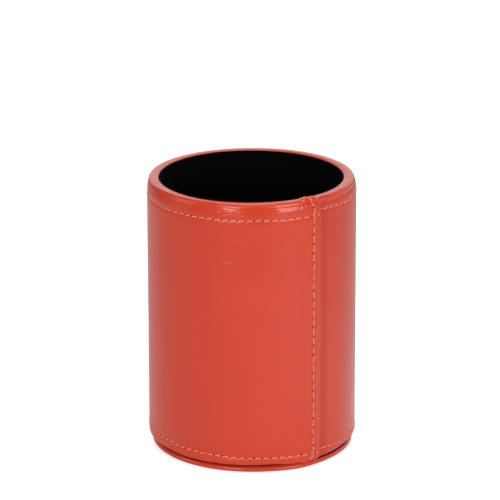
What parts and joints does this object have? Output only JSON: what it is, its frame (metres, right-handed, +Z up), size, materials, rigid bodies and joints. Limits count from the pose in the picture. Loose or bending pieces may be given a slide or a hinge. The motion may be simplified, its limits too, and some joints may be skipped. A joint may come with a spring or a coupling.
{
  "type": "pen cup",
  "caption": "Round desk pen cup: a stiff tube wrapped in stitched leather with a lapped seam, a cloth-lined well and a thin inset base disc.",
  "frame": {"origin": "middle of the base pad's underside, on the surface that the cup stands on", "axes": "+Z up along the cup's axis, -Y towards the front, with the sewn seam to the right of the front"},
  "size_m": [0.0768, 0.0768, 0.1027],
  "materials": {
    "greyboard": "matte",
    "red_leather": "satin",
    "orange_thread": "matte",
    "lining_card": "matte",
    "black_pile": "matte",
    "pad_felt": "matte"
  },
  "bodies": {
    "root": {"body_tube": "greyboard", "body_floor": "greyboard", "foot_card": "greyboard", "leather_wrap": "red_leather", "rim_thread": "orange_thread", "foot_thread": "orange_thread", "seam_thread": "orange_thread", "lining_card": "lining_card", "lining_cloth": "black_pile", "lining_floor_card": "lining_card", "lining_floor_cloth": "black_pile", "base_leather": "red_leather", "base_board": "greyboard", "base_pad": "pad_felt"}
  },
  "joints": []
}
